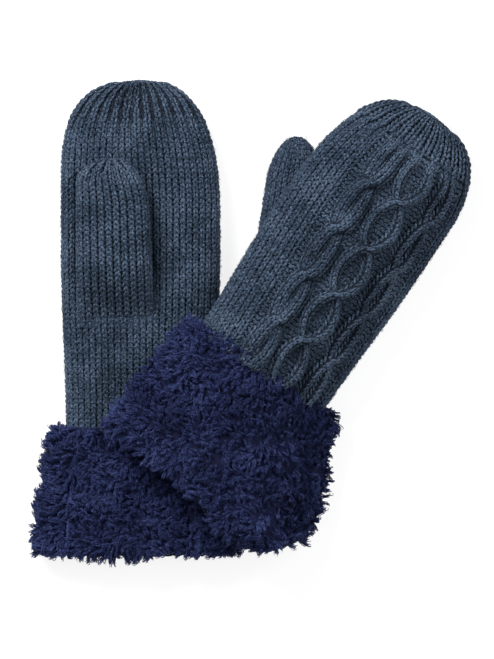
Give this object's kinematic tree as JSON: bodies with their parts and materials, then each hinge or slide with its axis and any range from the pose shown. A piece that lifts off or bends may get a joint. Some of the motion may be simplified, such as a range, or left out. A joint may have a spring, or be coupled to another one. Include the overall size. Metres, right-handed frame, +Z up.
{
  "type": "pair of knitted mittens",
  "caption": "Pair of lined cable-knit mittens with deep sherpa pile cuffs, laid one partly over the other, thumbs and upper mitten movable.",
  "frame": {"origin": "on the surface the pair lies on, under the middle of the pair", "axes": "+Z up, +Y along the left mitten from cuff to tip, +X to the right-hand mitten's side"},
  "size_m": [0.2644, 0.2862, 0.0575],
  "materials": {
    "knit": "plain stocking-stitch acrylic knit",
    "cable_knit": "cable and rib acrylic knit",
    "sherpa": "deep matted sherpa pile",
    "fleece": "short fleece",
    "thread": "twisted sewing yarn"
  },
  "bodies": {
    "left_mitten": {"left_palm_panel": "knit", "left_back_panel": "cable_knit", "left_thumb_side_seam": "thread", "left_outer_side_seam": "thread", "left_tip_gather": "thread", "left_lining": "fleece", "left_sherpa_cuff": "sherpa", "left_cuff_side_seam": "thread", "left_wrist_seam": "thread", "left_cuff_hem_seam": "thread", "left_thumb_root_seam": "thread"},
    "left_thumb": {"left_thumb_tube": "knit", "left_thumb_tip_gather": "thread", "left_thumb_lining": "fleece"},
    "right_mitten": {"right_palm_panel": "knit", "right_back_panel": "cable_knit", "right_thumb_side_seam": "thread", "right_outer_side_seam": "thread", "right_tip_gather": "thread", "right_lining": "fleece", "right_sherpa_cuff": "sherpa", "right_cuff_side_seam": "thread", "right_wrist_seam": "thread", "right_cuff_hem_seam": "thread", "right_thumb_root_seam": "thread"},
    "right_thumb": {"right_thumb_tube": "knit", "right_thumb_tip_gather": "thread", "right_thumb_lining": "fleece"}
  },
  "joints": [
    {"name": "left_thumb_lift", "type": "hinge", "parent": "left_mitten", "child": "left_thumb", "pos_m": [-0.0822, -0.003, 0.0275], "axis": [1, 0, 0], "range_deg": [0, 80]},
    {"name": "right_mitten_lift", "type": "slide", "parent": "left_mitten", "child": "right_mitten", "axis": [0, 0, 1], "range_m": [0, 0.12]},
    {"name": "right_thumb_swing", "type": "hinge", "parent": "right_mitten", "child": "right_thumb", "pos_m": [0.01915, 0.0373, 0.01], "axis": [0, 0, 1], "range_deg": [-20, 16]}
  ]
}
